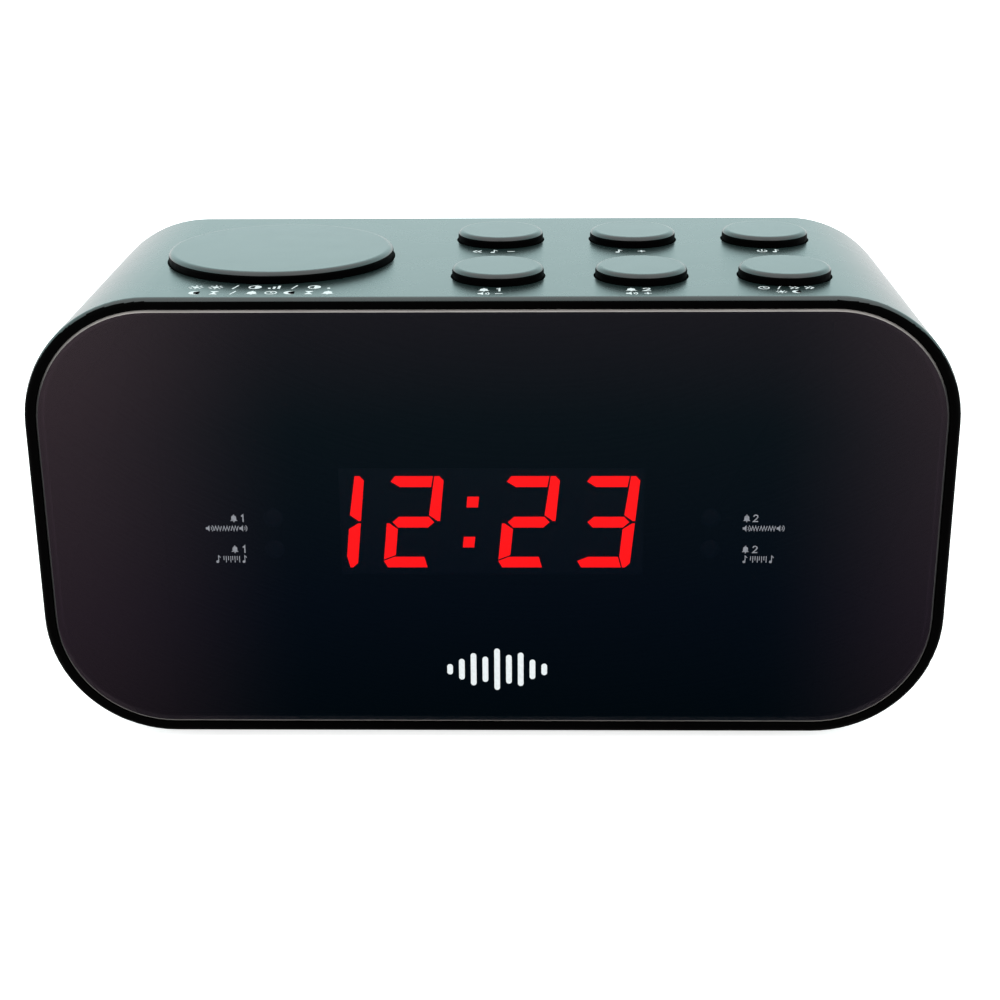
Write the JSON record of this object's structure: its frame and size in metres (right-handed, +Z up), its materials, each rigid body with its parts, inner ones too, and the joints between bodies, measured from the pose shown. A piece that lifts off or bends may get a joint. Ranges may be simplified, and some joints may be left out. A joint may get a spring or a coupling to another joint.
{
  "type": "clock radio",
  "caption": "Bedside clock radio: round-cornered box, smoked front window over red LED clock digits, wide round snooze button and smaller round function buttons on top.",
  "frame": {"origin": "centre of the footprint, on the surface that the feet stand on", "axes": "+Z up, +X to the right as the user sees the clock face, +Y from the clock face to the back"},
  "size_m": [0.1404, 0.057, 0.0742],
  "materials": {
    "cabinet_plastic": "fine satin moulded ABS, black",
    "button_plastic": "smooth satin moulded ABS, black",
    "cover_plastic": "light spark-eroded texture, black",
    "smoked_acrylic": "polished smoked acrylic",
    "mask_ink": "black screen ink on clear film",
    "display_resin": "black painted face on moulded resin",
    "segment_red_lit": "diffusing red resin, lit",
    "segment_red_dark": "diffusing red resin, unlit",
    "indicator_resin": "clear red resin, unlit",
    "tinned_metal": "tinned",
    "screw_steel": "black oxide steel",
    "zinc_screw_steel": "zinc-plated steel",
    "circuit_board": "green solder mask on laminate",
    "chip_epoxy": "moulded epoxy",
    "capacitor_sleeve": "shrunk sleeve",
    "ceramic_disc": "dipped ceramic",
    "resistor_body": "lacquered",
    "diode_body": "moulded epoxy",
    "can_metal": "drawn can",
    "white_nylon": "natural nylon",
    "ferrite": "ground ferrite",
    "litz_winding": "enamelled copper wire",
    "frame_plastic": "moulded ABS, dark grey",
    "switch_plastic": "moulded PBT",
    "plunger_plastic": "moulded PBT, buff",
    "cell_jacket": "printed steel jacket",
    "contact_metal": "nickel plated",
    "foot_rubber": "matt",
    "gland_rubber": "matt",
    "gasket_foam": "closed-cell foam",
    "basket_steel": "zinc-plated pressed steel",
    "cone_paper": "pressed paper",
    "cap_paper": "pressed paper, lacquered",
    "magnet_ceramic": "ground barium ferrite",
    "yoke_steel": "zinc-plated",
    "fibre_board": "vulcanised fibre",
    "core_steel": "varnished laminations",
    "bobbin_nylon": "moulded nylon",
    "winding_tape": "polyester tape",
    "bracket_steel": "zinc-plated strip",
    "wire_insulation": "PVC insulation",
    "ribbon_plastic": "grey PVC flat cable"
  },
  "bodies": {
    "cabinet": {"cabinet_shell": "cabinet_plastic", "rear_cover": "cover_plastic", "rear_cover_screws": "screw_steel", "rubber_feet": "foot_rubber", "front_lens": "smoked_acrylic", "lens_mask": "mask_ink", "alarm_indicator_leds": "indicator_resin", "display_module": "display_resin", "display_segments_lit": "segment_red_lit", "display_segments_dark": "segment_red_dark", "display_pins": "tinned_metal", "main_board": "circuit_board", "main_board_screws": "zinc_screw_steel", "integrated_circuits": "chip_epoxy", "chip_leads": "tinned_metal", "electrolytic_capacitors": "capacitor_sleeve", "ceramic_capacitors": "ceramic_disc", "resistors": "resistor_body", "rectifier_diodes": "diode_body", "coil_and_crystal_cans": "can_metal", "board_headers": "white_nylon", "ferrite_rod": "ferrite", "antenna_coil": "litz_winding", "rod_holders": "white_nylon", "key_board": "circuit_board", "key_frame": "frame_plastic", "key_board_screws": "zinc_screw_steel", "tact_switches": "switch_plastic", "battery_cells": "cell_jacket", "battery_contacts": "contact_metal", "cord_gland": "gland_rubber", "speaker_gasket": "gasket_foam", "speaker_frame": "basket_steel", "speaker_cone": "cone_paper", "speaker_dust_cap": "cap_paper", "speaker_magnet": "magnet_ceramic", "speaker_yoke": "yoke_steel", "speaker_terminals": "fibre_board", "transformer_core": "core_steel", "transformer_bobbin": "bobbin_nylon", "transformer_windings": "winding_tape", "transformer_bracket": "bracket_steel", "transformer_screws": "zinc_screw_steel", "internal_wires": "wire_insulation", "key_ribbon": "ribbon_plastic"},
    "battery_door": {"battery_door": "cabinet_plastic"},
    "button_snooze": {"button_snooze": "button_plastic", "plunger_snooze": "plunger_plastic"},
    "button_front_left": {"button_front_left": "button_plastic", "plunger_front_left": "plunger_plastic"},
    "button_front_middle": {"button_front_middle": "button_plastic", "plunger_front_middle": "plunger_plastic"},
    "button_front_right": {"button_front_right": "button_plastic", "plunger_front_right": "plunger_plastic"},
    "button_back_left": {"button_back_left": "button_plastic", "plunger_back_left": "plunger_plastic"},
    "button_back_middle": {"button_back_middle": "button_plastic", "plunger_back_middle": "plunger_plastic"},
    "button_back_right": {"button_back_right": "button_plastic", "plunger_back_right": "plunger_plastic"}
  },
  "joints": [
    {"name": "snooze_press", "type": "slide", "parent": "cabinet", "child": "button_snooze", "axis": [0, 0, -1], "range_m": [0, 0.0005], "stiffness_N_per_m": 400, "springref_m": -0.002},
    {"name": "front_left_press", "type": "slide", "parent": "cabinet", "child": "button_front_left", "axis": [0, 0, -1], "range_m": [0, 0.0005], "stiffness_N_per_m": 400, "springref_m": -0.002},
    {"name": "front_middle_press", "type": "slide", "parent": "cabinet", "child": "button_front_middle", "axis": [0, 0, -1], "range_m": [0, 0.0005], "stiffness_N_per_m": 400, "springref_m": -0.002},
    {"name": "front_right_press", "type": "slide", "parent": "cabinet", "child": "button_front_right", "axis": [0, 0, -1], "range_m": [0, 0.0005], "stiffness_N_per_m": 400, "springref_m": -0.002},
    {"name": "back_left_press", "type": "slide", "parent": "cabinet", "child": "button_back_left", "axis": [0, 0, -1], "range_m": [0, 0.0005], "stiffness_N_per_m": 400, "springref_m": -0.002},
    {"name": "back_middle_press", "type": "slide", "parent": "cabinet", "child": "button_back_middle", "axis": [0, 0, -1], "range_m": [0, 0.0005], "stiffness_N_per_m": 400, "springref_m": -0.002},
    {"name": "back_right_press", "type": "slide", "parent": "cabinet", "child": "button_back_right", "axis": [0, 0, -1], "range_m": [0, 0.0005], "stiffness_N_per_m": 400, "springref_m": -0.002},
    {"name": "battery_door_hinge", "type": "hinge", "parent": "cabinet", "child": "battery_door", "pos_m": [0.0245, -0.0109, 0.0026], "axis": [-1, 0, 0], "range_deg": [0, 75]}
  ]
}
